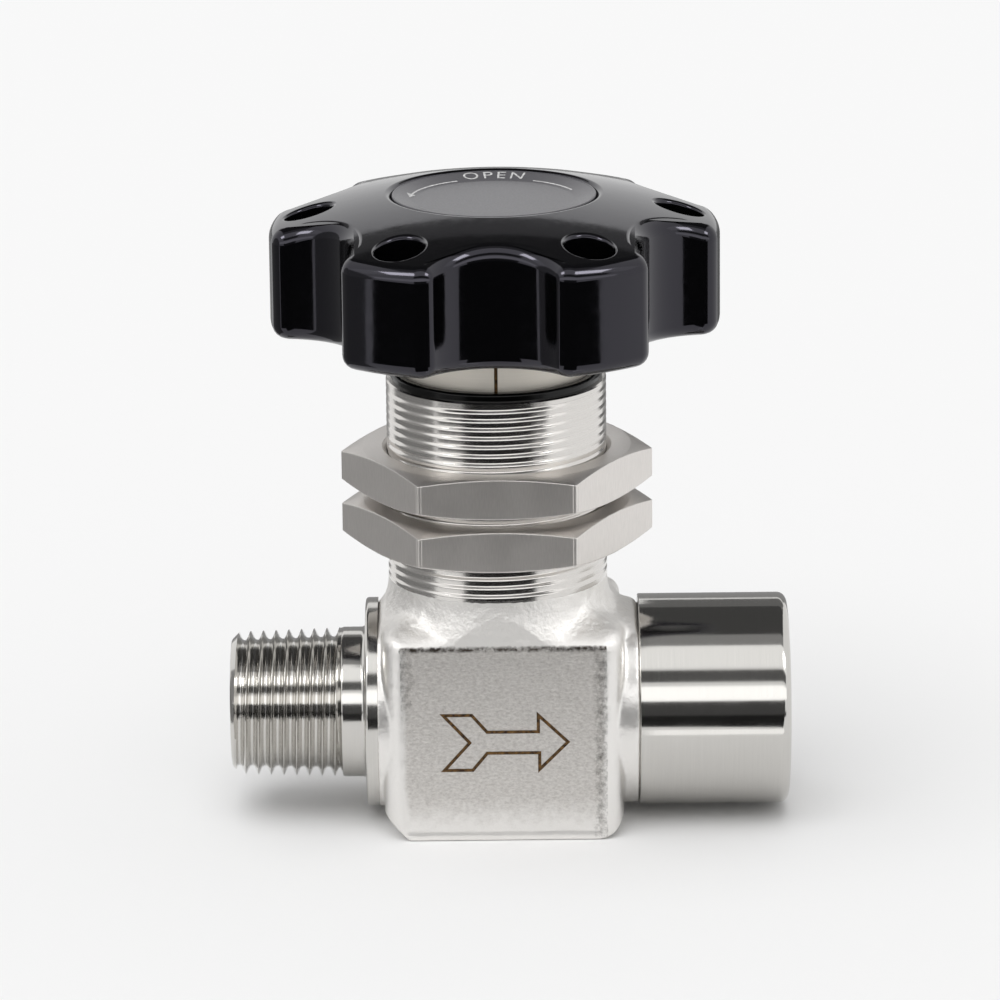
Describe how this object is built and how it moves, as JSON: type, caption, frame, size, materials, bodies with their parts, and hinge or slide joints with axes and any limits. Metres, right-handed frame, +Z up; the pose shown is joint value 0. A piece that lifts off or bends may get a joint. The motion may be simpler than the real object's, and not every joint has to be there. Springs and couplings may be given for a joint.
{
  "type": "diaphragm valve",
  "caption": "Panel-mount diaphragm valve with a forged body, male taper inlet, female taper outlet, hexagon panel nuts on a threaded neck and a lobed black handwheel.",
  "frame": {"origin": "centre of the flat base under the stem axis", "axes": "+Z up the stem, +X along the flow towards the female outlet, -Y towards the face with the arrow"},
  "size_m": [0.0792, 0.0594, 0.0903],
  "materials": {
    "stainless_body": "forged, blasted on the flat faces, polished on the edges and turned at the ports",
    "nut_stainless": "satin, machined",
    "stainless_turned": "turned",
    "diaphragm_alloy": "rolled, bright",
    "spring_steel": "bright",
    "bronze": "turned bronze",
    "brass_insert": "turned brass",
    "black_moulding": "gloss, moulded",
    "cap_grey": "satin grey, printed",
    "seat_plastic": "machined fluoropolymer",
    "black_rubber": "moulded, smooth"
  },
  "bodies": {
    "valve_body": {"valve_body": "stainless_body", "valve_seat": "seat_plastic", "diaphragm_lower": "diaphragm_alloy", "diaphragm_middle": "diaphragm_alloy", "diaphragm_upper": "diaphragm_alloy", "clamp_ring": "stainless_turned", "bonnet": "stainless_turned", "stem_bushing": "bronze", "retaining_ring": "spring_steel", "dust_seal": "black_rubber"},
    "button": {"push_button": "stainless_turned", "thrust_ball": "spring_steel"},
    "handwheel": {"stem": "stainless_turned", "stem_seal": "black_rubber", "knob_key": "spring_steel", "knob_insert": "brass_insert", "knob": "black_moulding", "knob_washer": "spring_steel", "knob_screw": "spring_steel", "knob_cap": "cap_grey"},
    "lower_nut": {"lower_panel_nut": "nut_stainless"},
    "upper_nut": {"upper_panel_nut": "nut_stainless"}
  },
  "joints": [
    {"name": "stem_lift", "type": "slide", "parent": "valve_body", "child": "button", "axis": [0, 0, 1], "range_m": [0, 0.00156]},
    {"name": "handwheel_turn", "type": "hinge", "parent": "button", "child": "handwheel", "pos_m": [0, 0, 0.0782], "axis": [0, 0, 1], "range_deg": [0, 450.01]},
    {"name": "lower_nut_travel", "type": "slide", "parent": "valve_body", "child": "lower_nut", "axis": [0, 0, 1], "range_m": [-0.005, 0.0009]},
    {"name": "upper_nut_travel", "type": "slide", "parent": "valve_body", "child": "upper_nut", "axis": [0, 0, 1], "range_m": [-0.0008, 0.0095]}
  ],
  "couplings": [
    {"joint": "handwheel_turn", "follows": "stem_lift", "rad_per_m": 5026.5}
  ]
}
